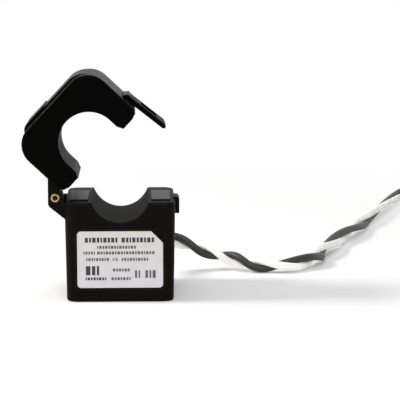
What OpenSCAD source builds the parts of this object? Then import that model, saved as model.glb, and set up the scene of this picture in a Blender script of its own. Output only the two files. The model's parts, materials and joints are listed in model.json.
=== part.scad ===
// Split-core current transformer: a hinged lid opens so that the two halves of
// the core close round a conductor. Shown standing open, lid against its stop.
// X runs to the right, Y from front to back, Z up. Origin: middle of the foot.

/* [Window] */
// Radius of the conductor window
window_r = 8.2; // [7.5:0.05:9]
// Centre of the window's lower arc above the mating plane
low_arc_rise = 2.4; // [1.5:0.1:2.6]
// Straight length between the window's lower and upper arcs
window_straight = 2; // [1:0.1:4]

/* [Core] */
// Width of each core leg
leg_w = 5.1; // [4:0.1:6]
// Height of the core's yoke
yoke_h = 5.2; // [4:0.1:6]
// Height of the yoke's underside above the foot
yoke_z = 8.2; // [7.8:0.1:9]
// Height of the ground pole faces above the shoulder
pole_proud = 0.4; // [0.2:0.05:0.6]
// Thickness of the case between a pole and the window
web = 0.4; // [0.3:0.05:0.8]

/* [Lower case] */
// Side wall beside the core legs
side_wall = 1.2; // [1:0.05:1.6]
// Front and back wall
end_wall = 1.4; // [1.1:0.1:1.8]
// Wall under the trough
trough_wall = 1.2; // [0.9:0.1:1.6]
// Depth of the case, front to back
case_d = 32; // [28:0.5:36]
// Height of the shoulder that carries the poles
shoulder_h = 27.15; // [26.5:0.05:31]
// Thickness of the roof under the shoulder
roof = 1.5; // [1.2:0.1:2]
// Amount that each side leans in towards the foot
side_draft = 0.45; // [0.2:0.05:0.5]
// Radius of the upright corners
corner_r = 3; // [2.4:0.1:3.6]
// Rounding round the foot
foot_r = 0.6; // [0.5:0.1:1]
// Rounding round the shoulder
rim_r = 0.7; // [0.4:0.1:0.8]
// Thickness of the base cover
cover_t = 1.4; // [1.2:0.1:2]

/* [Lid] */
// Amount that the lid's sides stand in from the case's sides
lid_inset = 0.2; // [0.1:0.05:0.4]
// Amount that the lid's ends stand in from the case's ends
lid_end_inset = 0.2; // [0.1:0.05:0.4]
// Plastic and core above the window
crown_t = 6.3; // [6:0.1:8]
// Radius of the lid's outer corners
lid_r = 6.3; // [5.5:0.1:6.5]
// Side wall of the lid
lid_wall = 1.05; // [0.9:0.05:1.2]
// Front and back wall of the lid
lid_end_wall = 1.2; // [1:0.05:1.5]
// Depth of the lid behind its core
lid_back = 2.6; // [2.4:0.1:5]
// Rounding of the lid's front and back edges
lid_edge_r = 0.5; // [0.3:0.1:0.8]
// Width that the flare adds at each side of the lid's mouth
mouth_flare = 0.7; // [0.4:0.1:0.8]
// Amount that the lid's bore is relieved behind the core
bore_relief = 0.9; // [0.6:0.1:1.1]
// Height of the raised step along the crown
step_h = 0.6; // [0.4:0.05:0.7]
// Height of the raised pad on the hinge half of the crown
pad_h = 0.95; // [0.8:0.05:1.2]
// Angle that the lid stands open at its stop
open_angle = 47; // [45:0.5:50]

/* [Hinge] */
// Distance of the hinge axis outside the case's side
hinge_out = 2.45; // [2.4:0.05:2.7]
// Height of the hinge axis above the mating plane
hinge_rise = 0.8; // [0.5:0.02:1]
// Radius of the lid's knuckle
knuckle_r = 1.35; // [1.3:0.05:1.6]
// Distance of the lugs' outer edge from the hinge axis
lug_out = 1.95; // [1.8:0.05:2.5]
// Radius of the front lug beside the case
front_lug_r = 2.2; // [1.6:0.05:2.3]
// Thickness of each lug on the case
lug_t = 2.2; // [1.8:0.1:2.6]
// Distance of each lug in from the lid's end
lug_inset = 1.8; // [1.4:0.1:2.4]
// Outer radius of the tubular rivet
rivet_r = 0.8; // [0.7:0.05:0.85]
// Wall of the tubular rivet
rivet_wall = 0.22; // [0.18:0.01:0.3]
// Radius of the rivet's rolled heads
rivet_head_r = 1.25; // [1.15:0.01:1.35]

/* [Latch] */
// Distance that the catch stands out from the case
catch_out = 1.25; // [0.9:0.05:1.3]
// Height of the catch
catch_h = 4.5; // [4:0.1:5]
// Width of the catch, front to back
catch_w = 7.2; // [6:0.2:8]
// Width of the latch tongue, front to back
tongue_w = 12.4; // [12:0.2:14]
// Thickness of the latch tongue
tongue_t = 1.35; // [1.3:0.05:1.6]
// Length of the tongue below the mating plane
tongue_drop = 8.5; // [8:0.1:9.5]
// Height of the tongue's root above the mating plane
flex_rise = 3.7; // [3.4:0.1:4.2]
// Angle that the tongue springs out from the lid's side
tongue_splay = 4.7; // [4.6:0.1:5.4]

/* [Label] */
// Width of the label
label_w = 23.2; // [20:0.2:25]
// Height of the label
label_h = 15.5; // [13:0.1:16]
// Height of the label's lower edge above the foot
label_z = 3.9; // [3.4:0.1:4.2]
// Size of the label's cut corner
label_cut = 3.2; // [2:0.1:4]
// Margin of the recess round the label
label_margin = 0.5; // [0.3:0.05:0.8]
// Depth of the recess for the label
label_depth = 0.25; // [0.15:0.05:0.3]

/* [Winding and board] */
// Wall of the bobbin
bobbin_wall = 0.7; // [0.5:0.05:0.8]
// Build of the secondary winding on the bobbin
coil_build = 1.9; // [1.5:0.1:2]
// Thickness of the tape round the winding
tape_t = 0.2; // [0.1:0.05:0.25]
// Depth behind the winding for the burden board and its components
board_room = 5.3; // [5:0.1:7]
// Thickness of the burden board
board_t = 1; // [0.8:0.1:1.2]
// Height of the burden board
board_h = 12.5; // [12:0.5:14]

/* [Leads] */
// Diameter of one insulated lead
wire_d = 2.3; // [2:0.05:2.4]
// Sideways place of the lead exit in the back
exit_x = 4; // [2:0.5:6]
// Height of the lead exit in the back
exit_z = 13; // [12.5:0.1:14]
// Turns that lie on the surface in the stowed coil
coil_low_turns = 3; // [2:1:4]
// Radius of the stowed coil at the middle of its turns
coil_mid_r = 25; // [23:0.5:28]

/* [Hidden] */
$fn = 64;

// Fits
fit = 0.1;             // between pieces that are seated in each other
slip = 0.3;            // between pieces that move past each other
running = 0.05;        // between the rivet and what it passes through
eps = 0.05;            // overshoot of a cut past the face that it opens
sink = 0.4;            // depth that a boss or rib reaches into its wall

// Core
core_in = window_r + web;
core_out = core_in + leg_w;
case_w = 2 * (core_out + fit + side_wall);
mate_z = shoulder_h + pole_proud;
coil_space = bobbin_wall + coil_build + tape_t + 2 * fit;
core_y0 = -case_d / 2 + end_wall + coil_space;
core_y1 = case_d / 2 - end_wall - board_room - coil_space + fit;
stack_d = core_y1 - core_y0;
core_y = (core_y0 + core_y1) / 2;
yoke_mid_z = yoke_z + yoke_h / 2;

// Window
low_arc_z = mate_z + low_arc_rise;
high_arc_z = low_arc_z + window_straight;

// Lid, as it stands closed
lid_gap = 0.05;        // between the lid's rim and the mating plane
lid_z0 = mate_z + lid_gap;
lid_hw = case_w / 2 - lid_inset;
lid_y0 = -case_d / 2 + lid_end_inset;
lid_y1 = core_y1 + lid_back;
lid_y = (lid_y0 + lid_y1) / 2;
lid_top = high_arc_z + window_r + crown_t;
bore_wall_r = core_in + 0.6;
pole_gap = 0.1;        // between the upper and lower poles when closed
cushion_t = 0.3;       // rubber strip over the upper core
end_rib = 1;           // ribs that hold the upper core
LEG_FOOT = [[0, 1.6], [0.7, 0.55], [2.1, 0]];    // outer foot of a leg, inward and up

// Hinge
hinge = [-case_w / 2 - hinge_out, mate_z + hinge_rise];
hinge_y0 = lid_y0 + lug_inset;
hinge_y1 = lid_y1 - lug_inset;
knuckle_y0 = hinge_y0 + lug_t + slip;
knuckle_y1 = hinge_y1 - lug_t - slip;
stop_gap = 0.08;       // between the lid's side and the lugs at the stop
stop_r = hinge_out + lid_inset - stop_gap;

// Latch
tongue_gap = 0.02;     // between the upright tongue and the lid's side
tongue_x0 = lid_hw + tongue_gap;
flex = [tongue_x0 + tongue_t / 2, mate_z + flex_rise];
flex_play = 0.06;      // between the tongue's round root and its seat
catch_top = mate_z - 0.1;
catch_bottom = catch_top - catch_h;
bar_t = 0.55;          // the bar below the tongue's window is set to its outside

// Bobbin and winding
bobbin_hx = core_in - fit;
flange_t = 1;
tube_hy = stack_d / 2 + fit + bobbin_wall;
tube_hz = yoke_h / 2 + fit + bobbin_wall;
flange_hy = tube_hy + coil_build + tape_t;
flange_hz = tube_hz + coil_build + tape_t + 0.4;
flange_back = core_y + flange_hy;

// Board
component_off = 1.35;  // height of a component's axis off the board
component_r = 1.25;
board_y1 = case_d / 2 - end_wall - component_off - component_r - fit;
board_y0 = board_y1 - board_t;
board_z0 = cover_t + 2.4;
board_hw = core_out - 0.7;
pin_r = 0.35;
pin_x = bobbin_hx - flange_t / 2;
pin_z = yoke_mid_z + 1.2;
component_lead_r = 0.3;
resistor_z = 9.6;
diode_z = 6.4;
component_hx = 4.4;    // half the span between a component's leads
component_x = -4.5;

// Leads
lead_r = wire_d;       // the two leads lie side by side in a round envelope
grommet_flange_t = 1.1;
grommet_face = case_d / 2 + grommet_flange_t;
tie_t = 0.5;
lay_z = wire_d + 0.05;

// Route of the leads behind the case, from the grommet to the coil
LEAD_ROUTE = [[0, 0, exit_z], [0.4, 4, exit_z - 0.2], [2.6, 8.8, 12.1], [7, 12.6, 10.6],
    [13.5, 14, 8.5], [20.5, 14, 6.1], [27, 12.6, 4.1], [33, 10.4, 2.8], [39, 8.6, lay_z],
    [45.5, 9.4, lay_z], [51, 14.6, lay_z], [55, 24, lay_z], [58.5, 36, lay_z],
    [62.5, 48, lay_z], [67.5, 62, lay_z], [74, 80, lay_z], [81, 101, lay_z],
    [89, 126, lay_z], [97.5, 150, lay_z], [102, 159.5, lay_z], [107.5, 167.3, lay_z]];
lead_start = [exit_x, grommet_face, 0];
coil_centre = [exit_x + 134.2, grommet_face + 145.6];
coil_hw = coil_low_turns * wire_d;
coil_h = wire_d * (2 + sqrt(3));
coil_z0 = tie_t + fit;

// ---------------------------------------------------------------- shapes

// Closed solid through a stack of rings, each a list of as many points,
// anticlockwise as seen from the last ring's end.
module loft(rings) {
    n = len(rings[0]);
    last = len(rings) - 1;
    points = [for (ring = rings) each ring];
    sides = [for (k = [0:last - 1], i = [0:n - 1])
        let (j = (i + 1) % n)
        [k * n + i, (k + 1) * n + i, (k + 1) * n + j, k * n + j]];
    first_cap = [for (i = [0:n - 1]) i];
    last_cap = [for (i = [0:n - 1]) last * n + n - 1 - i];
    polyhedron(points, concat([first_cap], sides, [last_cap]), convexity = 6);
}

function arc(centre, r, from, to, steps) =
    [for (i = [0:steps]) let (a = from + (to - from) * i / steps)
        centre + r * [cos(a), sin(a)]];

// Ring of a rounded rectangle in the plane at height z
function plan_ring(hx, hy, r, z) =
    [for (c = [[1, 1, 0], [-1, 1, 90], [-1, -1, 180], [1, -1, 270]])
        for (p = arc([c[0] * (hx - r), c[1] * (hy - r)], r, c[2], c[2] + 90, 6))
            [p[0], p[1], z]];

module rounded_square(w, h, r) {
    square([w - 2 * r, h], center = true);
    square([w, h - 2 * r], center = true);
    for (sx = [-1, 1], sy = [-1, 1])
        translate([sx * (w / 2 - r), sy * (h / 2 - r)]) circle(r);
}

// Draws a profile in X and Z and gives it a depth from y0 to y1
module in_depth(y0, y1) {
    translate([0, y1, 0]) rotate([90, 0, 0]) linear_extrude(y1 - y0) children();
}

// Turns a profile in radius and height about a line along Y through x and z
module round_y(x, z) {
    translate([x, 0, z]) rotate([-90, 0, 0]) rotate_extrude() children();
}

module cylinder_y(r, y0, y1) {
    translate([0, y0, 0]) rotate([-90, 0, 0]) cylinder(r = r, h = y1 - y0);
}

// Puts what is drawn closed where it stands with the lid at its stop
module opened() {
    translate([hinge[0], 0, hinge[1]]) rotate([0, -open_angle, 0])
        translate([-hinge[0], 0, -hinge[1]]) children();
}

module mirrored_x() {
    children();
    mirror([1, 0, 0]) children();
}

// ---------------------------------------------------------------- lower case

function case_hx(z) = case_w / 2 - side_draft * (1 - z / shoulder_h);

module case_outside() {
    foot = [for (a = [0:30:90])
        let (in = foot_r * (1 - sin(a)), z = foot_r * (1 - cos(a)))
        plan_ring(case_hx(z) - in, case_d / 2 - in, corner_r - in, z)];
    rim = [for (a = [0:30:90])
        let (in = rim_r * (1 - cos(a)), z = shoulder_h - rim_r * (1 - sin(a)))
        plan_ring(case_hx(z) - in, case_d / 2 - in, corner_r - in, z)];
    loft(concat(foot, rim));
}

module trough(r, y0, y1) {
    translate([0, 0, low_arc_z]) cylinder_y(r, y0, y1);
}

// Room for the winding and board, open below
module case_cavity() {
    inner_hy = case_d / 2 - end_wall;
    difference() {
        translate([0, 0, -eps]) linear_extrude(shoulder_h - roof + eps)
            rounded_square(2 * (core_out + fit), 2 * inner_hy, corner_r - side_wall);
        trough(window_r + trough_wall, -inner_hy - 1, inner_hy + 1);
    }
}

module pole_pockets() {
    mirrored_x() translate([core_in - fit, core_y0 - fit, yoke_z])
        cube([leg_w + 2 * fit, stack_d + 2 * fit, shoulder_h]);
}

// Chamfer where the trough runs out through the front and back
module trough_mouths() {
    chamfer = 0.3;
    for (s = [-1, 1])
        translate([0, s * case_d / 2, low_arc_z]) rotate([s * 90, 0, 0])
            translate([0, 0, -eps])
                cylinder(r1 = window_r + chamfer + eps, r2 = window_r, h = chamfer + eps);
}

// Lug outline about the hinge axis: the upper edge is the lid's stop, and the
// round side of radius r faces the case
function lug_outline(r) =
    let (n = [cos(open_angle), sin(open_angle)], stop_x = 0.9, root = hinge_out + sink,
        ledge = shoulder_h - hinge[1] - 0.55, foot = -6.1, corner = 1.6)
    concat([for (x = [-lug_out, stop_x]) [x, (stop_r - n[0] * x) / n[1]]],
        arc([0, 0], r, 48, -30, 8), [[r, ledge], [root, ledge], [root, foot]],
        arc([corner - lug_out, -1.45], corner, 230, 180, 6));

module lug(y, r) {
    translate([hinge[0], 0, hinge[1]]) in_depth(y, y + lug_t) polygon(lug_outline(r));
}

module lugs() {
    lug(hinge_y0, front_lug_r);
    lug(hinge_y1 - lug_t, knuckle_r);
}

module catch_block() {
    ramp = 0.5;
    bevel = 0.15;
    x0 = case_w / 2 - sink;
    x1 = case_w / 2 + catch_out;
    in_depth(lid_y - catch_w / 2, lid_y + catch_w / 2)
        polygon([[x0, catch_bottom], [x1 - bevel, catch_bottom], [x1, catch_bottom + bevel],
            [x1, catch_top - ramp], [x1 - ramp, catch_top], [x0, catch_top]]);
}

// Grooves that the burden board slides into
module board_rails() {
    rail = 0.9;
    height = board_z0 + board_h - cover_t - fit;
    mirrored_x() for (y = [board_y0 - fit - rail, board_y1 + fit])
        translate([board_hw - 0.8, y, cover_t + fit])
            cube([core_out + fit + sink - board_hw + 0.8, rail, height]);
}

module label_recess() {
    translate([0, 0, label_z + label_h / 2])
        in_depth(-case_d / 2 - eps, -case_d / 2 + label_depth)
            rounded_square(label_w + 2 * label_margin, label_h + 2 * label_margin, 1.4);
}

module lower_case() {
    color("#121110") {
        difference() {
            union() {
                difference() {
                    case_outside();
                    case_cavity();
                }
                lugs();
                catch_block();
                board_rails();
            }
            pole_pockets();
            trough(window_r, -case_d, case_d);
            trough_mouths();
            label_recess();
            translate([exit_x, 0, exit_z])
                cylinder_y(lead_r + 0.5, case_d / 2 - 2 * end_wall, case_d);
            translate([hinge[0], 0, hinge[1]])
                cylinder_y(rivet_r + running, -case_d, case_d);
        }
    }
}

module base_cover() {
    post_h = yoke_z - cover_t - fit;
    color("#161514") {
        linear_extrude(cover_t)
            rounded_square(2 * core_out, case_d - 2 * end_wall - 2 * fit, corner_r - side_wall);
        // Posts under the core legs
        mirrored_x() translate([core_in + 0.8, core_y - 5, cover_t - eps])
            cube([leg_w - 1.6, 10, post_h + eps]);
        // Steps under the board
        mirrored_x() translate([board_hw - 5, board_y0, cover_t - eps])
            cube([3, board_t, board_z0 - cover_t - fit + eps]);
    }
}

// ---------------------------------------------------------------- core and winding

module lower_core() {
    corner = 2;
    color("#7d7e82") in_depth(core_y0, core_y1) difference() {
        translate([-core_out, yoke_z]) square([2 * core_out, mate_z - yoke_z]);
        translate([-core_in, yoke_z + yoke_h]) square([2 * core_in, mate_z]);
        for (s = [-1, 1])
            translate([s * (core_out - corner), yoke_z + corner]) difference() {
                translate([s > 0 ? 0 : -corner - 1, -corner - 1]) square(corner + 1);
                circle(corner);
            }
    }
}

module across(hx) {
    translate([-hx, core_y, yoke_mid_z]) rotate([90, 0, 90]) linear_extrude(2 * hx)
        children();
}

module bobbin() {
    color("#e8e4d8") difference() {
        union() {
            across(bobbin_hx) rounded_square(2 * tube_hy, 2 * tube_hz, 0.6);
            for (s = [-1, 1]) translate([s * (bobbin_hx - flange_t / 2), 0, 0])
                across(flange_t / 2) rounded_square(2 * flange_hy, 2 * flange_hz, 1);
        }
        across(bobbin_hx + 1)
            square([stack_d + 2 * fit, yoke_h + 2 * fit], center = true);
    }
}

module coil_ring(inner, outer, hx) {
    across(hx) difference() {
        rounded_square(2 * (tube_hy + outer), 2 * (tube_hz + outer), 0.6 + outer);
        rounded_square(2 * (tube_hy + inner), 2 * (tube_hz + inner), 0.6 + inner);
    }
}

module secondary_winding() {
    color("#b0622c") coil_ring(0, coil_build, bobbin_hx - flange_t - fit / 2);
}

module winding_tape() {
    color("#d9b23a") coil_ring(coil_build, coil_build + tape_t, bobbin_hx - flange_t - fit / 2);
}

module bobbin_pins() {
    color("#c9c9c4") mirrored_x() translate([pin_x, 0, pin_z])
        cylinder_y(pin_r, flange_back, board_y1 + 0.6);
}

// ---------------------------------------------------------------- burden board

component_ends = [for (z = [resistor_z, diode_z], s = [-1, 1])
    [component_x + s * component_hx, z]];

module burden_board() {
    color("#2f6b3c") in_depth(board_y0, board_y1) difference() {
        translate([-board_hw, board_z0]) square([2 * board_hw, board_h]);
        for (s = [-1, 1]) translate([s * pin_x, pin_z]) circle(pin_r + running);
        for (p = component_ends) translate(p) circle(component_lead_r + running);
    }
}

// Axial component: a turned body with leads bent down into the board
module axial(profile, z) {
    y = board_y1 + component_off;
    translate([component_x, y, z]) {
        rotate([0, 90, 0]) rotate_extrude() polygon(profile);
        rotate([0, 90, 0])
            cylinder(r = component_lead_r, h = 2 * component_hx, center = true);
        for (s = [-1, 1]) translate([s * component_hx, 0, 0]) {
            sphere(component_lead_r);
            cylinder_y(component_lead_r, -component_off - board_t - 0.5, 0);
        }
    }
}

module burden_resistor() {
    color("#6fa0c8") axial([[0, -3.1], [1, -3.1], [1.15, -2.6], [1.15, -1.9], [0.95, -1.5],
        [0.95, 1.5], [1.15, 1.9], [1.15, 2.6], [1, 3.1], [0, 3.1]], resistor_z);
}

module clamp_diode() {
    r = component_r;
    color("#1b1b1d") axial([[0, -2.5], [r - 0.15, -2.5], [r, -2.2], [r, 2.2], [r - 0.15, 2.5],
        [0, 2.5]], diode_z);
}

module solder_joints() {
    cone_h = 0.7;
    color("#b9bbbd") {
        for (p = component_ends) translate([p[0], board_y0 - cone_h, p[1]])
            solder(component_lead_r, cone_h);
        for (s = [-1, 1]) translate([s * pin_x, board_y0 - cone_h, pin_z])
            solder(pin_r, cone_h);
    }
}

module solder(wire_r, h) {
    rotate([-90, 0, 0]) difference() {
        cylinder(r1 = wire_r + 0.15, r2 = wire_r + 0.5, h = h);
        translate([0, 0, -eps]) cylinder(r = wire_r + running / 2, h = h + 2 * eps);
    }
}

// ---------------------------------------------------------------- leads

module inner_lead(s) {
    translate([exit_x + s * wire_d / 2, 0, exit_z])
        cylinder_y(wire_d / 2 - running / 2, board_y1, grommet_face);
}

module inner_lead_black() {
    color("#151515") inner_lead(-1);
}

module inner_lead_white() {
    color("#eceae4") inner_lead(1);
}

module pair_outline(margin) {
    square([wire_d, wire_d + 2 * margin], center = true);
    for (s = [-1, 1]) translate([s * wire_d / 2, 0]) circle(wire_d / 2 + margin);
}

module strain_tie() {
    strap = 0.6;
    width = 0.8;
    y1 = case_d / 2 - end_wall - 0.75;
    color("#e9e9e4") translate([exit_x, 0, exit_z]) in_depth(y1 - width, y1)
        difference() {
            union() {
                pair_outline(strap);
                translate([0, wire_d / 2 + strap]) square([1.6, 1.4], center = true);
            }
            pair_outline(running / 2);
        }
}

module lead_grommet() {
    inner_y = case_d / 2 - end_wall;
    neck = lead_r + 0.5 - running;
    flange = lead_r + 1.5;
    bore = lead_r + running;
    color("#1c1b1a") round_y(exit_x, exit_z)
        polygon([[bore, inner_y - 0.7], [flange - 0.3, inner_y - 0.7], [flange - 0.3, inner_y],
            [neck, inner_y], [neck, case_d / 2], [flange, case_d / 2],
            [flange, grommet_face - 0.4], [flange - 0.5, grommet_face],
            [bore, grommet_face]]);
}

// Smooth curve through the route's points
function between(p, t) =
    0.5 * (2 * p[1] + (p[2] - p[0]) * t + (2 * p[0] - 5 * p[1] + 4 * p[2] - p[3]) * t * t
        + (3 * p[1] - p[0] - 3 * p[2] + p[3]) * t * t * t);
function smooth(route, steps) =
    let (last = len(route) - 1)
    concat([for (i = [0:last - 1], k = [0:steps - 1])
        between([route[max(i - 1, 0)], route[i], route[i + 1], route[min(i + 2, last)]],
            k / steps)], [route[last]]);
function along(line, i) =
    let (d = line[min(i + 1, len(line) - 1)] - line[max(i - 1, 0)]) d / norm(d);

module lead_pair() {
    sides = 10;
    line = [for (p = smooth(LEAD_ROUTE, 2)) p + lead_start];
    rings = [for (i = [0:len(line) - 1])
        let (t = i == 0 ? [0, 1, 0] : along(line, i), side = cross(t, [0, 0, 1]),
            x = side / norm(side), z = cross(x, t))
        [for (k = [0:sides - 1]) let (a = -360 * k / sides)
            line[i] + lead_r * (cos(a) * x + sin(a) * z)]];
    color("#4a4a48") loft(rings);
}

// Stowed length: one layer on the surface and a narrower one in its grooves
module lead_coil() {
    color("#4a4a48") translate([coil_centre[0], coil_centre[1], coil_z0]) rotate_extrude()
        polygon(concat(
            arc([coil_mid_r + coil_hw - wire_d, wire_d], wire_d, -90, 30, 6),
            arc([coil_mid_r + coil_hw - 2 * wire_d, coil_h - wire_d], wire_d, 30, 90, 4),
            arc([coil_mid_r - coil_hw + 2 * wire_d, coil_h - wire_d], wire_d, 90, 150, 4),
            arc([coil_mid_r - coil_hw + wire_d, wire_d], wire_d, 150, 270, 6)));
}

module coil_tie() {
    width = 2.6;
    color("#e9e9e4") translate([coil_centre[0] + coil_mid_r, coil_centre[1] + width / 2, 0])
        rotate([90, 0, 0]) linear_extrude(width) difference() {
            translate([-coil_hw - fit - tie_t, 0])
                square([2 * (coil_hw + fit + tie_t), coil_h + 2 * (fit + tie_t)]);
            translate([-coil_hw - fit, tie_t])
                square([2 * (coil_hw + fit), coil_h + 2 * fit]);
        }
}

// ---------------------------------------------------------------- label and hinge

module front_label() {
    thick = 0.12;
    back = -case_d / 2 + label_depth;
    color("#e6e4e8") translate([0, 0, label_z + label_h / 2]) in_depth(back - thick, back)
        difference() {
            rounded_square(label_w, label_h, 1);
            translate([label_w / 2, label_h / 2]) rotate(45)
                square([label_cut * sqrt(2), 2 * label_cut], center = true);
        }
}

module hinge_rivet() {
    head_t = 0.4;
    inner = rivet_r - rivet_wall;
    half = (hinge_y1 - hinge_y0) / 2;
    // Rolled head, from the lug's face outwards
    head = [[rivet_r, 0], [rivet_head_r, 0], [rivet_head_r - 0.1, 0.26],
        [rivet_head_r - 0.3, head_t], [inner + 0.12, head_t], [inner, head_t - 0.12]];
    outwards = [for (p = head) [p[0], half + p[1]]];
    inwards = [for (i = [len(head) - 1:-1:0]) [head[i][0], -half - head[i][1]]];
    color("#c2983e") translate([0, (hinge_y0 + hinge_y1) / 2, 0]) round_y(hinge[0], hinge[1])
        polygon(concat(outwards, inwards));
}

// ---------------------------------------------------------------- lid

// Ring of the lid's outline at depth y, drawn in by inset, clockwise from the front
function lid_ring(inset, y) =
    let (hw = lid_hw - inset, r = lid_r - inset, top = lid_top - lid_r)
    [for (p = concat(
        [for (i = [2:-1:0]) [-hw + LEG_FOOT[i][0], lid_z0 + LEG_FOOT[i][1]]],
        arc([-lid_hw + lid_r, top], r, 180, 90, 10),
        arc([lid_hw - lid_r, top], r, 90, 0, 10),
        [for (i = [0:2]) [hw - LEG_FOOT[i][0], lid_z0 + LEG_FOOT[i][1]]]))
        [p[0], y, p[1]]];

module lid_outside() {
    front = [for (a = [0:30:90]) lid_ring(lid_edge_r * (1 - sin(a)),
        lid_y0 + lid_edge_r * (1 - cos(a)))];
    back = [for (a = [0:30:90]) lid_ring(lid_edge_r * (1 - cos(a)),
        lid_y1 - lid_edge_r * (1 - sin(a)))];
    loft(concat(front, back));
}

// Arch profile: legs of half width hw, an upper arc of radius hw, down to z0
module arch(hw, z0) {
    translate([0, high_arc_z]) circle(hw);
    translate([-hw, z0]) square([2 * hw, high_arc_z - z0]);
}

// Outer profile of what lies inside the lid, in by wall from its outside
module inside_profile(wall, top, z0) {
    hw = lid_hw - wall;
    r = lid_r - wall;
    translate([-hw, z0]) square([2 * hw, top - r - z0]);
    translate([-hw + r, z0]) square([2 * (hw - r), top - z0]);
    for (s = [-1, 1]) translate([s * (hw - r), top - r]) circle(r);
}

// Hollow of the lid: room in front of the core, a rib, and the core's pocket
module lid_hollow() {
    for (y = [[lid_y0 + lid_end_wall, core_y0 - fit - end_rib], [core_y0 - fit, core_y1 + fit]])
        in_depth(y[0], y[1]) difference() {
            inside_profile(lid_wall, lid_top - lid_wall, lid_z0 - 1);
            arch(bore_wall_r, lid_z0 - 2);
        }
}

module mouth() {
    rise = 1.7;
    in_depth(-case_d, case_d)
        polygon([[-window_r, lid_z0 + rise], [-window_r - mouth_flare, lid_z0 + 0.2],
            [-window_r - mouth_flare, lid_z0 - 1], [window_r + mouth_flare, lid_z0 - 1],
            [window_r + mouth_flare, lid_z0 + 0.2], [window_r, lid_z0 + rise]]);
}

// Raised step along the crown, which fades out round the latch corner, and the
// higher pad on the hinge half
module crown_pad() {
    pad_foot = 4.2;    // in from the lid's side
    front_set = 4.6;   // in from the lid's ends
    back_set = 2.2;
    r = 2.4;
    steps = 8;
    x0 = -lid_hw + pad_foot;
    x1 = -1.6;
    corner = [lid_hw - lid_r, lid_top - lid_r];
    y0 = lid_y0 + front_set;
    y1 = lid_y1 - back_set;
    in_depth(y0, y1) {
        translate([x0 + r, lid_top - sink]) square([x1 - x0 - r, pad_h + sink]);
        translate([x0, lid_top - lid_r / 2]) square([r, lid_r / 2 + pad_h - r]);
        translate([x0 + r, lid_top + pad_h - r]) circle(r);
        polygon(concat([[x1 - eps, lid_top - sink], [x1 - eps, lid_top + step_h]],
            [for (i = [0:steps]) let (a = 90 - 6 * i)
                corner + (lid_r + step_h * (1 - i / steps)) * [cos(a), sin(a)]],
            arc(corner, lid_r - sink, 90 - 6 * steps, 90, steps)));
    }
}

module knuckle() {
    x1 = -lid_hw + sink;
    z0 = hinge[1] - 0.2;
    z1 = hinge[1] + 5;
    translate([hinge[0], 0, hinge[1]]) cylinder_y(knuckle_r, knuckle_y0, knuckle_y1);
    in_depth(knuckle_y0, knuckle_y1)
        polygon([[hinge[0], z0], [hinge[0] + knuckle_r, z0], [-lid_hw, z0 + 1.2], [x1, z0 + 1.2],
            [x1, z1], [-lid_hw, z1],
            [hinge[0] - knuckle_r * cos(35), hinge[1] + knuckle_r * sin(35)]]);
}

// Boss on the lid's side that carries the latch tongue
module tongue_seat() {
    x0 = lid_hw - sink;
    x1 = flex[0] + tongue_t / 2 + 0.08;
    z0 = flex[1] + 0.5;
    difference() {
        in_depth(lid_y - tongue_w / 2, lid_y + tongue_w / 2)
            polygon([[x0, z0], [x1, z0], [x1, z0 + 0.8], [lid_hw + 0.4, z0 + 1.7], [x0, z0 + 1.7]]);
        tongue_root(tongue_t / 2 + flex_play, 1);
    }
}

module tongue_root(r, over) {
    translate([flex[0], 0, flex[1]])
        cylinder_y(r, lid_y - tongue_w / 2 - over, lid_y + tongue_w / 2 + over);
}

module upper_case() {
    color("#131211") opened() difference() {
        union() {
            difference() {
                union() {
                    lid_outside();
                    crown_pad();
                }
                lid_hollow();
            }
            knuckle();
            tongue_seat();
        }
        in_depth(-case_d, case_d) arch(window_r, lid_z0 - 2);
        in_depth(core_y1 + fit, case_d) arch(window_r + bore_relief, lid_z0 - 2);
        mouth();
        translate([hinge[0], 0, hinge[1]]) cylinder_y(rivet_r + running, -case_d, case_d);
    }
}

module upper_core() {
    color("#77787c") opened() in_depth(core_y0, core_y1) difference() {
        inside_profile(lid_wall + fit, lid_top - lid_wall - cushion_t - 0.02, mate_z + pole_gap);
        arch(bore_wall_r + fit, mate_z);
    }
}

module core_cushion() {
    hx = lid_hw - lid_r - 1;
    color("#2b2b2d") opened() translate([-hx, core_y0 + 1, lid_top - lid_wall - cushion_t])
        cube([2 * hx, stack_d - 2, cushion_t - 0.02]);
}

// Tongue drawn upright against the case's side, then splayed about its root
module latch_tongue() {
    z0 = mate_z - tongue_drop;
    x0 = tongue_x0;
    x1 = tongue_x0 + tongue_t;
    y0 = lid_y - tongue_w / 2;
    y1 = lid_y + tongue_w / 2;
    bar_top = catch_bottom - slip;
    window_hw = catch_w / 2 + 2 * slip;
    window_top = catch_top + 2 * slip;
    color("#141312") opened() translate([flex[0], 0, flex[1]]) rotate([0, -tongue_splay, 0])
        translate([-flex[0], 0, -flex[1]]) difference() {
            union() {
                tongue_root(tongue_t / 2, 0);
                in_depth(y0, y1) polygon([[x0, z0 + 0.5], [x0 + 0.4, z0], [x1 - 0.5, z0],
                    [x1, z0 + 0.9], [x1, flex[1]], [x0, flex[1]]]);
            }
            translate([x0 - 1, lid_y - window_hw, bar_top])
                cube([tongue_t + 2, 2 * window_hw, window_top - bar_top]);
            translate([x0 - 1, lid_y - window_hw, z0 - 1])
                cube([1 + tongue_t - bar_t, 2 * window_hw, bar_top - z0 + 1 + eps]);
        }
}

lower_case();
base_cover();
lower_core();
bobbin();
secondary_winding();
winding_tape();
bobbin_pins();
burden_board();
burden_resistor();
clamp_diode();
solder_joints();
inner_lead_black();
inner_lead_white();
strain_tie();
lead_grommet();
lead_pair();
lead_coil();
coil_tie();
front_label();
hinge_rivet();
upper_case();
upper_core();
core_cushion();
latch_tongue();
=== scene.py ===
"""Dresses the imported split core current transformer: its twisted lead, the marks on its label
and the finish of every piece. Lengths are in metres, or in millimetres where MM scales them."""

import json
import math
from itertools import cycle

import bmesh
import bpy
from mathutils import Matrix, Vector


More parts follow.
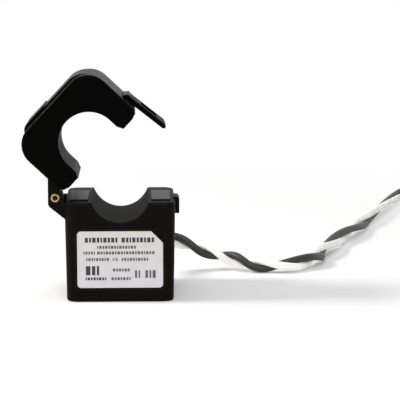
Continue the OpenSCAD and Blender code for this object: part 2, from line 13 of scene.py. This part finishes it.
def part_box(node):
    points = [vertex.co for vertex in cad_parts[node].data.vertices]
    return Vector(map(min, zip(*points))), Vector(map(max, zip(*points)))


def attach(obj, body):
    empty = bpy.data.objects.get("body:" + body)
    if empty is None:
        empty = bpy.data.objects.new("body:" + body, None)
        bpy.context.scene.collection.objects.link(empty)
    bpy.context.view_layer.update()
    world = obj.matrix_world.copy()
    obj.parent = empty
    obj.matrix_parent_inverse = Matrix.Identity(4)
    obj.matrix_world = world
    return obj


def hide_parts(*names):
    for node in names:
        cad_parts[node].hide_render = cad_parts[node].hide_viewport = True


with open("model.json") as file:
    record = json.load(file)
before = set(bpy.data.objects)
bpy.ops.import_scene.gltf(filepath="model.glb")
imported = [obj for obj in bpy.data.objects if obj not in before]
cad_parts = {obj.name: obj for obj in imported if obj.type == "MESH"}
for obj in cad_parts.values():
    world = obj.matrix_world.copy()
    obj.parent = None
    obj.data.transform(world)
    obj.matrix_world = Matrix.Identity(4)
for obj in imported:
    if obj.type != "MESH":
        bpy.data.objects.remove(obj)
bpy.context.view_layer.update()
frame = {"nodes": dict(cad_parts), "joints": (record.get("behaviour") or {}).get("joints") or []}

MM = 0.001
scene = bpy.context.scene
nodes = frame["nodes"]


# ---------------------------------------------------------------- camera

CAMERA_PLACE = Vector((4.97, -496.2, 97.35)) * MM
CAMERA_DOWN = math.radians(8.228)
CAMERA_RIGHT = math.radians(1.986)
SENSOR_WIDTH, LENS = 36, 162    # mm
NEAREST, FURTHEST = 0.01, 20    # m

camera = bpy.data.objects.new("camera", bpy.data.cameras.new("camera"))
camera.data.sensor_width = SENSOR_WIDTH
camera.data.lens = LENS
camera.data.clip_start = NEAREST
camera.data.clip_end = FURTHEST
camera.location = CAMERA_PLACE
camera.rotation_euler = (math.pi / 2 - CAMERA_DOWN, 0, -CAMERA_RIGHT)
scene.collection.objects.link(camera)
scene.camera = camera


# ---------------------------------------------------------------- meshes

TUBE_SIDES = 12
SHARP_FROM = math.radians(50)


def new_piece(name, bm, *materials):
    """Turns bm into a piece with these materials, and frees bm."""
    bmesh.ops.recalc_face_normals(bm, faces=bm.faces)
    mesh = bpy.data.meshes.new(name)
    bm.to_mesh(mesh)
    bm.free()
    for finish in materials:
        mesh.materials.append(finish)
    piece = bpy.data.objects.new(name, mesh)
    scene.collection.objects.link(piece)
    return piece


def shade_smooth(piece):
    """Smooth shading, but for the sharp edges."""
    piece.data.shade_smooth()
    piece.data.set_sharp_from_angle(angle=SHARP_FROM)


def frames_along(points):
    """The direction and two steady cross directions at each of a line's points."""
    last = len(points) - 1
    ahead = [(points[min(i + 1, last)] - points[max(i - 1, 0)]).normalized()
             for i in range(last + 1)]
    side = ahead[0].cross(Vector((0, 0, 1))).normalized()
    frames = []
    for direction in ahead:
        side = (side - direction * side.dot(direction)).normalized()
        frames.append((direction, side, side.cross(direction)))
    return frames


def add_tube(bm, points, radii, slot=0):
    """Sweeps a round tube with closed ends along points, with one radius for each."""
    angles = [2 * math.pi * k / TUBE_SIDES for k in range(TUBE_SIDES)]
    rings = [[bm.verts.new(point + radius * (math.cos(a) * side + math.sin(a) * up))
              for a in angles]
             for point, radius, (_, side, up) in zip(points, radii, frames_along(points))]
    outlines = []
    for near, far in zip(rings, rings[1:]):
        for k in range(TUBE_SIDES):
            beside = (k + 1) % TUBE_SIDES
            outlines.append((near[k], near[beside], far[beside], far[k]))
    outlines += [rings[0][::-1], rings[-1]]
    for outline in outlines:
        bm.faces.new(outline).material_index = slot


# ---------------------------------------------------------------- shader nodes

def rgba(colour):
    """A grey or a colour as an opaque colour."""
    return (*(colour if hasattr(colour, "__len__") else (colour,) * 3), 1)


def fill(tree, made, inputs):
    """Gives inputs of a node, by name or number, a value or another node's output."""
    for name, value in inputs.items():
        if isinstance(value, bpy.types.NodeSocket):
            tree.links.new(value, made.inputs[name])
        else:
            made.inputs[name].default_value = value


def node(tree, kind, inputs=None, **settings):
    """A new node with these inputs, as fill takes them, and settings."""
    made = tree.nodes.new("ShaderNode" + kind)
    for name, value in settings.items():
        setattr(made, name, value)
    fill(tree, made, inputs or {})
    return made


def position(tree, scale=(1, 1, 1)):
    """Places in metres on the piece itself at rest, times scale."""
    place = node(tree, "TexCoord").outputs["Object"]
    return node(tree, "Mapping", {"Vector": place, "Scale": scale}).outputs["Vector"]


def noise(tree, scale, detail=3, roughness=0.5, stretch=(1, 1, 1)):
    """Noise fixed to the piece. A stretch below 1 draws it out along that axis."""
    return node(tree, "TexNoise", {"Vector": position(tree, stretch), "Scale": scale,
                                   "Detail": detail, "Roughness": roughness}).outputs["Fac"]


def ramp(tree, value, *stops):
    """Maps a value to colours or greys. Each stop is (place, grey or colour)."""
    made = node(tree, "ValToRGB", {"Fac": value})
    for element, (place, colour) in zip(made.color_ramp.elements, stops):
        element.position = place
        element.color = rgba(colour)
    return made.outputs["Color"]


def bump(tree, height, strength, distance, under=None):
    """A normal raised by height, on top of the normal under."""
    made = node(tree, "Bump", {"Height": height, "Strength": strength, "Distance": distance})
    if under:
        fill(tree, made, {"Normal": under})
    return made.outputs["Normal"]


def maths(tree, operation, first, second):
    """A sum on two values, each a socket or a number."""
    return node(tree, "Math", {0: first, 1: second}, operation=operation).outputs["Value"]


def away(tree, centre, axes=(1, 1, 1)):
    """Distance in metres from centre, counted along the axes that are 1."""
    offset = node(tree, "VectorMath", {0: position(tree), 1: centre}, operation="SUBTRACT")
    kept = node(tree, "VectorMath", {0: offset.outputs["Vector"], 1: axes}, operation="MULTIPLY")
    length = node(tree, "VectorMath", {0: kept.outputs["Vector"]}, operation="LENGTH")
    return length.outputs["Value"]


def upward(tree, vector):
    """The Z part of a vector."""
    return node(tree, "SeparateXYZ", {"Vector": vector}).outputs["Z"]


def fade(tree, value, low, high, start=0, end=1):
    """start where value is low, end where it is high, straight between. low may be the greater."""
    return node(tree, "MapRange", {"Value": value, "From Min": low, "From Max": high,
                                   "To Min": start, "To Max": end}).outputs["Result"]


def blend(tree, factor, first, second):
    """first where factor is 0 and second where it is 1. Each is a socket, a grey or a colour."""
    ends = (end if isinstance(end, bpy.types.NodeSocket) else rgba(end)
            for end in (first, second))
    mix = node(tree, "Mix", data_type="RGBA")
    fill(tree, mix, dict(zip(("Factor", "A", "B"), (factor, *ends))))
    return mix.outputs["Result"]


def at_edges(tree):
    """1 along the edges and 0 on flats and gentle curves."""
    rounded = node(tree, "Bevel", {"Radius": EDGE_REACH}, samples=4).outputs["Normal"]
    true = node(tree, "NewGeometry").outputs["Normal"]
    alike = node(tree, "VectorMath", {0: rounded, 1: true}, operation="DOT_PRODUCT")
    return fade(tree, alike.outputs["Value"], EDGE_STARTS, EDGE_FULL)


# ---------------------------------------------------------------- kinds of material

# Scales of noise. At 1000 its patches are about 1 mm wide
MOULD_WAVES = 300
SPARK_GRAIN = 2500
PLASTIC_TONES = 160
PLASTIC_GLOSS = 420
WEAR_AND_HIGHLIGHT_PATCHES = 900
METAL_TONES = 240
PAPER_TONES = 350
PAPER_GLOSS = 800
PAPER_FIBRES = 5000
# Edge wear and painted highlight reach this far from an edge, and these are the cosines of the turn
# that shows them
EDGE_REACH = 0.3 * MM
EDGE_STARTS, EDGE_FULL = 0.985, 0.9
# Bands per metre that the wave texture has at a scale of 1
WAVE_BANDS = 20 / (2 * math.pi)
# Tones of the label's paper under a painted colour cast of light, cool below and warm above, each
# from its dark to its light patches
COOL_CAST_PAPER = (0.62, 0.61, 0.64), (0.66, 0.65, 0.685)
WARM_CAST_PAPER = (0.62, 0.6, 0.575), (0.66, 0.64, 0.615)


def material(name):
    """A new material with a bare shader."""
    made = bpy.data.materials.new(name)
    made.use_nodes = True
    tree = made.node_tree
    tree.nodes.clear()
    shader = node(tree, "BsdfPrincipled")
    node(tree, "OutputMaterial", {"Surface": shader.outputs["BSDF"]})
    return made, tree, shader


def toned(colour, share):
    """A colour lighter or darker by a share."""
    return tuple(c * share for c in colour)


def plastic(name, colour, rough, specular, grain=0.3, wear_and_highlight=None, matte=None, matte_rough=0.64):
    """Moulded plastic: fine spark-eroded grain, slow unevenness of colour and gloss.

    Its edges take the edge colour it is given, partly as rubbed wear and partly as a painted
    highlight. matte(tree) masks a part that has matte_rough.
    """
    made, tree, shader = material(name)
    body = ramp(tree, noise(tree, PLASTIC_TONES, 4), (0.35, colour), (0.75, toned(colour, 1.25)))
    if wear_and_highlight:
        # Lighter edges, in patches: partly rubbed wear, partly a painted highlight
        patches = ramp(tree, noise(tree, WEAR_AND_HIGHLIGHT_PATCHES), (0.35, 0), (0.65, 1))
        body = blend(tree, maths(tree, "MULTIPLY", at_edges(tree), patches), body, wear_and_highlight)
    gloss = ramp(tree, noise(tree, PLASTIC_GLOSS), (0.3, rough - 0.05), (0.7, rough + 0.06))
    if matte:
        gloss = blend(tree, matte(tree), gloss, matte_rough)
    fine = bump(tree, noise(tree, SPARK_GRAIN, 2), grain, 0.03 * MM)
    waves = bump(tree, noise(tree, MOULD_WAVES, 2), 0.12, 0.3 * MM, under=fine)
    fill(tree, shader, {"Base Color": body, "Roughness": gloss, "Normal": waves,
                        "Specular IOR Level": specular})
    return made


def metal(name, colour, rough, edge=1, stretch=(1, 1, 1), scale=3000, scratch=0.25,
          shade=None, dark=None):
    """Metal with fine scratches, which stretch draws out.

    edge is the share of the usual gloss that is left where it is seen edge on.
    shade(tree) masks a part that gets painted shade, in the colour dark.
    """
    made, tree, shader = material(name)
    lines = noise(tree, scale, 3, 0.6, stretch)
    body = ramp(tree, noise(tree, METAL_TONES, 4), (0.3, toned(colour, 0.8)), (0.7, colour))
    if shade:
        body = blend(tree, shade(tree), body, dark)
    gloss = ramp(tree, lines, (0.3, rough - 0.06), (0.7, rough + 0.1))
    fill(tree, shader, {"Base Color": body, "Metallic": 1, "Roughness": gloss,
                        "Specular Tint": rgba(edge),
                        "Normal": bump(tree, lines, scratch, 0.02 * MM)})
    return made


def winding(name, colour, pitch):
    """Fine enamelled wire, each turn a ridge across X, with painted shade in the grooves between
    turns.
    """
    made, tree, shader = material(name)
    wave = node(tree, "TexWave", {"Vector": position(tree), "Distortion": 0.4,
                                  "Scale": 1 / (pitch * WAVE_BANDS)}).outputs["Fac"]
    # Painted shade: the grooves between the turns are darker
    fill(tree, shader, {"Base Color": ramp(tree, wave, (0.1, toned(colour, 0.35)), (0.7, colour)),
                        "Metallic": 0.9, "Roughness": 0.32,
                        "Normal": bump(tree, wave, 0.8, 0.1 * MM)})
    return made


def label_paper(name):
    """Faintly mottled matt paper, with a painted colour cast of light that warms its tone towards
    its top.
    """
    made, tree, shader = material(name)
    tones = noise(tree, PAPER_TONES, 5)
    cool, warm = (ramp(tree, tones, (0.3, dark), (0.7, light))
                  for dark, light in (COOL_CAST_PAPER, WARM_CAST_PAPER))
    # The painted colour cast: cool at the bottom of the label, warm at its top
    low, high = (corner[2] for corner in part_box("front_label"))
    height = fade(tree, upward(tree, position(tree)), low, high)
    fill(tree, shader, {"Base Color": blend(tree, height, cool, warm),
                        "Roughness": ramp(tree, noise(tree, PAPER_GLOSS), (0.3, 0.34), (0.7, 0.46)),
                        "Specular IOR Level": 0.3,
                        "Normal": bump(tree, noise(tree, PAPER_FIBRES), 0.2, 0.01 * MM)})
    return made


# ---------------------------------------------------------------- places with their own finish, and places with painted shade

lid_hinge = next(joint for joint in frame["joints"] if joint["name"] == "lid_hinge")
HINGE = Vector(lid_hinge["pos_m"])
LID_OPENS = Matrix.Rotation(-math.radians(lid_hinge["range_deg"][1]), 3, "Y")

WINDOW_R = 8.2 * MM
WINDOW_STRAIGHT = Vector((0, 0, 2)) * MM
TROUGH_AXIS = Vector((0, 0, 29.95)) * MM
ARCH_AXIS = HINGE + LID_OPENS @ (TROUGH_AXIS + WINDOW_STRAIGHT - HINGE)
# The painted shade at the rivet's bore is full within this distance of the hinge's axis
RIVET_BORE = 0.66 * MM
ACROSS = (1, 0, 1)


def in_window(axis):
    """A mask of the window's wall, round the axis of the trough or of the open lid's arch."""
    return lambda tree: fade(tree, away(tree, axis, ACROSS), WINDOW_R + 0.4 * MM,
                             WINDOW_R + 0.1 * MM)


def in_rivet(tree):
    """Painted shade at the bore of the tubular rivet."""
    return fade(tree, away(tree, HINGE, ACROSS), RIVET_BORE + 0.1 * MM, RIVET_BORE)


def off_pole(tree):
    """Painted shade on the sides of the lower core, but not on the ground faces on top of its
    poles.
    """
    return fade(tree, upward(tree, node(tree, "TexCoord").outputs["Normal"]), 0.6, 0.4)


# ---------------------------------------------------------------- finishes

# Colour of the lighter edges of the black plastics: rubbed wear, and a painted highlight
WEAR_AND_HIGHLIGHT_BLACK = (0.03, 0.03, 0.03)
CORE_GREY = (0.21, 0.22, 0.24)
ALONG_STRIP = (1, 0.02, 1)

case_black = plastic("case_black", (0.0038, 0.0033, 0.0029), rough=0.48, specular=0.03,
                     grain=0.5, wear_and_highlight=WEAR_AND_HIGHLIGHT_BLACK, matte=in_window(TROUGH_AXIS))
lid_black = plastic("lid_black", (0.0014, 0.0014, 0.0013), rough=0.32, specular=0.012,
                    grain=0.5, wear_and_highlight=WEAR_AND_HIGHLIGHT_BLACK, matte=in_window(ARCH_AXIS), matte_rough=0.42)
tongue_black = plastic("tongue_black", (0.0016, 0.0016, 0.0015), rough=0.42, specular=0.012,
                       grain=0.5, wear_and_highlight=WEAR_AND_HIGHLIGHT_BLACK)
cover_black = plastic("cover_black", (0.005, 0.005, 0.0045), rough=0.6, specular=0.1, grain=0.6)
rubber_black = plastic("rubber_black", (0.008, 0.008, 0.0075), rough=0.7, specular=0.2)
nylon_white = plastic("nylon_white", (0.74, 0.73, 0.68), rough=0.42, specular=0.4)
bobbin_nylon = plastic("bobbin_nylon", (0.72, 0.68, 0.56), rough=0.45, specular=0.4)
board_green = plastic("board_green", (0.03, 0.16, 0.05), rough=0.35, specular=0.5)
resistor_blue = plastic("resistor_blue", (0.16, 0.36, 0.55), rough=0.3, specular=0.5)
diode_black = plastic("diode_black", (0.012, 0.012, 0.014), rough=0.35, specular=0.5)
amber_tape = plastic("amber_tape", (0.6, 0.36, 0.05), rough=0.3, specular=0.5)
insulation_black = plastic("insulation_black", (0.025, 0.025, 0.024), rough=0.45, specular=0.3)
insulation_white = plastic("insulation_white", (0.88, 0.88, 0.86), rough=0.42, specular=0.35)
label_ink = plastic("label_ink", (0.045, 0.04, 0.045), rough=0.5, specular=0.2)
pale_label_ink = plastic("pale_label_ink", (0.11, 0.1, 0.105), rough=0.5, specular=0.2)
# The lower core's sides get a painted shade, darker than the faces on its poles
core_metal = metal("core_metal", CORE_GREY, rough=0.4, edge=0.37, stretch=ALONG_STRIP,
                   scale=3500, shade=off_pole, dark=(0.012, 0.012, 0.013))
upper_core_metal = metal("upper_core_metal", CORE_GREY, rough=0.4, edge=0.37,
                         stretch=ALONG_STRIP, scale=3500)
# The brass is darkened with painted shade at the rivet's bore
brass = metal("brass", (0.52, 0.35, 0.13), rough=0.24, edge=0.8, scale=2200, scratch=0.2,
              shade=in_rivet, dark=(0.03, 0.008, 0.004))
tin = metal("tin", (0.75, 0.75, 0.73), rough=0.28)
copper_wire = winding("copper_wire", (0.72, 0.32, 0.14), pitch=0.3 * MM)
paper = label_paper("label_paper")

FINISHES = {
    "lower_case": case_black,
    "base_cover": cover_black,
    "lower_core": core_metal,
    "bobbin": bobbin_nylon,
    "secondary_winding": copper_wire,
    "winding_tape": amber_tape,
    "bobbin_pins": tin,
    "burden_board": board_green,
    "burden_resistor": resistor_blue,
    "clamp_diode": diode_black,
    "solder_joints": tin,
    "inner_lead_black": insulation_black,
    "inner_lead_white": insulation_white,
    "strain_tie": nylon_white,
    "lead_grommet": rubber_black,
    "coil_tie": nylon_white,
    "front_label": paper,
    "hinge_rivet": brass,
    "upper_case": lid_black,
    "upper_core": upper_core_metal,
    "core_cushion": rubber_black,
    "latch_tongue": tongue_black,
}
for name, finish in FINISHES.items():
    for slot in nodes[name].material_slots:
        slot.material = finish


# ---------------------------------------------------------------- lead, in mm

WIRE_D = 2.3
# The strands are a hair slimmer than that, so that they touch and don't cut each other
STRAND_R = WIRE_D / 2 * 0.985
EXIT = (4, 17.1, 13)
# Height of the pair's middle where it lies on the floor
LAY_Z = WIRE_D + 0.05
# Points of the pair's middle line up to the coil, from the spot on the floor below its exit.
# They repeat the route in the part's source
LEAD_ROUTE = [
    (0, 0, 13), (0.4, 4, 12.8), (2.6, 8.8, 12.1), (7, 12.6, 10.6),
    (13.5, 14, 8.5), (20.5, 14, 6.1), (27, 12.6, 4.1), (33, 10.4, 2.8), (39, 8.6, LAY_Z),
    (45.5, 9.4, LAY_Z), (51, 14.6, LAY_Z), (55, 24, LAY_Z), (58.5, 36, LAY_Z),
    (62.5, 48, LAY_Z), (67.5, 62, LAY_Z), (74, 80, LAY_Z), (81, 101, LAY_Z),
    (89, 126, LAY_Z), (97.5, 150, LAY_Z), (102, 159.5, LAY_Z), (107.5, 167.3, LAY_Z),
]
ROUTE_STEPS = 12
COIL_CENTRE = (138.2, 162.7)
COIL_MID_R = 25
# The coil's underside, above the tie that passes below it
COIL_Z0 = 0.6
# Each turn of the coil moves to its own radius and level in its first degrees
COIL_SHIFT = 75
COIL_DEGREES = 5
# Turns that the pair has made at distances along the lead. Past the last of them each turn
# takes TWIST_PITCH
TWIST = [(0, 0.3), (18, 0.85), (34.8, 1.75), (50.6, 2.75), (86.5, 3.68), (152, 4.6),
         (215, 4.9), (238, 5.9)]
TWIST_PITCH = 22
TWIST_SOFTENING = 12
STEP = 1.1
# A bared end: places from the end of the insulation, and its radii
BARE_PLACES = (-1, 0.5, 4, 7, 7.6)
BARE_RADII = (0.75, 0.75, 0.72, 0.7, 0.45)


def between(p, t):
    """A smooth curve from p[1] to p[2] as t goes from 0 to 1."""
    return 0.5 * (2 * p[1] + (p[2] - p[0]) * t
                  + (2 * p[0] - 5 * p[1] + 4 * p[2] - p[3]) * t * t
                  + (3 * p[1] - p[0] - 3 * p[2] + p[3]) * t ** 3)


def smooth(route):
    """A smooth line through a route's points."""
    last = len(route) - 1
    line = [between([route[max(i - 1, 0)], route[i], route[i + 1], route[min(i + 2, last)]],
                    k / ROUTE_STEPS)
            for i in range(last) for k in range(ROUTE_STEPS)]
    return line + [route[last]]


def ease(t):
    """From 0 to 1 with a soft start and a soft end, and 1 from there on."""
    t = min(t, 1)
    return t * t * (3 - 2 * t)


def coil_line(start):
    """The coil, clockwise from start: three turns inwards on the surface, two back above."""
    centre = Vector((*COIL_CENTRE, 0))
    first = start - centre
    angle = math.atan2(first.y, first.x)
    wide = 2 * WIRE_D
    low = COIL_Z0 + WIRE_D
    high = low + WIRE_D * math.sqrt(3)
    levels = [(first.xy.length, start.z), (COIL_MID_R + wide, low), (COIL_MID_R, low),
              (COIL_MID_R - wide, low), (COIL_MID_R - wide / 2, high),
              (COIL_MID_R + wide / 2, high)]
    line = []
    for before, after in zip(levels, levels[1:]):
        for degree in range(0, 360, COIL_DEGREES):
            share = ease(degree / COIL_SHIFT)
            radius, z = (old + (new - old) * share for old, new in zip(before, after))
            around = angle - math.radians(degree)
            line.append(centre + Vector((radius * math.cos(around), radius * math.sin(around), z)))
    return line


def even(points):
    """The same line with points STEP apart."""
    line, carried = [points[0].copy()], 0
    for a, b in zip(points, points[1:]):
        length = (b - a).length
        place = STEP - carried
        while place <= length:
            line.append(a.lerp(b, place / length))
            place += STEP
        carried = (carried + length) % STEP
    return line


def turns_at(distance):
    """Turns that the pair has made at this distance along the lead."""
    for (a, turns_a), (b, turns_b) in zip(TWIST, TWIST[1:]):
        if distance <= b:
            return turns_a + (turns_b - turns_a) * (distance - a) / (b - a)
    return turns_b + (distance - b) / TWIST_PITCH


def lead_turns(count):
    """Turns that the pair has made at each point of the lead, with soft changes of pitch."""
    turns = [turns_at(i * STEP) for i in range(count)]
    for _ in range(TWIST_SOFTENING):
        middle = [(a + b + c) / 3 for a, b, c in zip(turns, turns[1:], turns[2:])]
        turns = [turns[0], *middle, turns[-1]]
    return turns


def strand_line(line, turns, strand):
    """One of two strands that turn round line. Its side is the viewer's, seen from the front."""
    points = []
    for point, turn, (_, side, up) in zip(line, turns, frames_along(line)):
        around = 2 * math.pi * (turn + strand / 2)
        points.append(point + (math.cos(around) * up + math.sin(around) * side) * WIRE_D / 2)
    return points


def make_lead():
    """A black and a white insulated wire, twisted, and their two bared and tinned ends."""
    start = Vector((EXIT[0], EXIT[1], 0))
    route = smooth([Vector(point) + start for point in LEAD_ROUTE])
    line = even(route + coil_line(route[-1])[1:])
    turns = lead_turns(len(line))
    strands_bm, ends_bm = bmesh.new(), bmesh.new()
    for strand in (0, 1):
        points = strand_line(line, turns, strand)
        add_tube(strands_bm, [p * MM for p in points], [STRAND_R * MM] * len(points), strand)
        ahead = (points[-1] - points[-2]).normalized()
        add_tube(ends_bm, [(points[-1] + ahead * place) * MM for place in BARE_PLACES],
                 [radius * MM for radius in BARE_RADII])

    lead = new_piece("lead_strands", strands_bm, insulation_black, insulation_white)
    shade_smooth(lead)
    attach(lead, "case")
    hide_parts("lead_pair", "lead_coil")
    ends = new_piece("lead_ends", ends_bm, tin)
    shade_smooth(ends)
    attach(ends, "case")


make_lead()


# ---------------------------------------------------------------- label marks, in mm

MARK_T = 0.02
MARK_SINK = 0.002
MARK_GAP = 0.26
MARK_WIDTHS = (0.75, 0.5, 0.85, 0.62, 0.42, 0.8, 0.58)
DARK, PALE = 0, 1
# Rows of plain bars, counted from the label's lower left corner: bottom, height and ink, then
# the start and end of each run
MARK_ROWS = [
    (12.45, 1.35, DARK, (2.1, 10.9), (12.0, 20.8)),
    (10.75, 0.8, PALE, (5.4, 15.9)),
    (9.2, 0.8, PALE, (1.7, 4.8), (5.4, 20.9)),
    (7.4, 0.8, PALE, (2.4, 8.6), (9.6, 10.9), (12.0, 19.2)),
    (3.5, 2.5, DARK, (2.3, 5.9)),
    (4.5, 0.8, PALE, (9.6, 14.2)),
    (2.1, 0.8, DARK, (2.2, 7.8)),
    (2.1, 0.8, PALE, (9.2, 14.4)),
    (2.7, 2.1, PALE, (15.6, 17.0), (18.4, 21.2)),
]


def run_widths(length, gap, share, widths):
    """Widths of the bars that fill a run of this length, stretched to end with it."""
    bars = []
    while sum(bars) + gap * (len(bars) - 1) < length:
        bars.append(next(widths) * share)
    stretch = (length - gap * (len(bars) - 1)) / sum(bars)
    return [bar * stretch for bar in bars]


def add_bar(bm, corner, size, ink):
    """A bar of one ink with its low corner here."""
    place = Matrix.Translation((corner + size / 2) * MM) @ Matrix.Diagonal((*size, 1))
    made = bmesh.ops.create_cube(bm, size=MM, matrix=place)
    for face in {face for vert in made["verts"] for face in vert.link_faces}:
        face.material_index = ink


def make_label_marks():
    """Plain bars and dashes where such a label is printed."""
    low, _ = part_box("front_label")
    origin = Vector(low) / MM - Vector((0, MARK_T - MARK_SINK, 0))
    bm = bmesh.new()
    widths = cycle(MARK_WIDTHS)
    for bottom, height, ink, *runs in MARK_ROWS:
        share = math.sqrt(height)
        gap = MARK_GAP * share
        for start, end in runs:
            x = start
            for width in run_widths(end - start, gap, share, widths):
                add_bar(bm, origin + Vector((x, 0, bottom)), Vector((width, MARK_T, height)), ink)
                x += width + gap
    marks = new_piece("label_marks", bm, label_ink, pale_label_ink)
    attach(marks, "case")


make_label_marks()


# ---------------------------------------------------------------- floor and light

FLOOR_SIZE = 40
FLOOR_WHITE = (0.93, 0.93, 0.94)
# For the camera the floor turns to plain white from the near distance to the far one
NEAR, FAR = 0.1, 0.28
NEAR_WHITE = 0.1
AMBIENT = 0.36
# Place, size, watts and colour of each lamp
LAMPS = {
    "top": ((0, 0.1, 0.7), 0.5, 1.2, (1, 1, 1)),
    "left": ((-0.45, 0, 0.36), 0.12, 2.9, (1, 0.96, 0.91)),
    "front": ((0.1, -0.9, 0.55), 0.5, 4, (1, 1, 1)),
}
LAMPS_AIM = Vector((0, 0, 0.02))


def make_floor():
    """White floor that takes the object's shadow and turns to plain white further out."""
    bpy.ops.mesh.primitive_plane_add(size=FLOOR_SIZE, location=(0, 0, 0))
    floor = bpy.context.object
    floor.name = "floor"
    made, tree, shader = material("floor_white")
    fill(tree, shader, {"Base Color": rgba(FLOOR_WHITE), "Roughness": 0.7,
                        "Specular IOR Level": 0.2})
    white = node(tree, "Emission", {"Color": rgba(1), "Strength": 1})
    whiter = fade(tree, away(tree, (0, 0, 0)), NEAR, FAR, NEAR_WHITE, 1)
    seen = maths(tree, "MULTIPLY", node(tree, "LightPath").outputs["Is Camera Ray"], whiter)
    both = node(tree, "MixShader", {"Fac": seen, 1: shader.outputs["BSDF"],
                                    2: white.outputs["Emission"]})
    fill(tree, tree.nodes["Material Output"], {"Surface": both.outputs["Shader"]})
    floor.data.materials.append(made)


def make_world():
    """Even light on the object, and plain white behind it, also in metal."""
    scene.world = bpy.data.worlds.new("studio")
    scene.world.use_nodes = True
    tree = scene.world.node_tree
    tree.nodes.clear()
    rays = node(tree, "LightPath").outputs
    through = maths(tree, "MAXIMUM", rays["Is Glossy Ray"], rays["Is Transmission Ray"])
    seen = maths(tree, "MAXIMUM", rays["Is Camera Ray"], through)
    ambient = node(tree, "Background", {"Color": rgba(1), "Strength": AMBIENT})
    white = node(tree, "Background", {"Color": rgba(1), "Strength": 1})
    both = node(tree, "MixShader", {"Fac": seen, 1: ambient.outputs["Background"],
                                    2: white.outputs["Background"]})
    node(tree, "OutputWorld", {"Surface": both.outputs["Shader"]})


def make_lamps():
    for name, (place, size, watts, colour) in LAMPS.items():
        light = bpy.data.lights.new(name, "AREA")
        light.size = size
        light.energy = watts
        light.color = colour
        lamp = bpy.data.objects.new(name, light)
        lamp.location = place
        lamp.rotation_euler = (LAMPS_AIM - lamp.location).to_track_quat("-Z", "Y").to_euler()
        scene.collection.objects.link(lamp)


make_floor()
make_world()
make_lamps()
scene.view_settings.view_transform = "Standard"
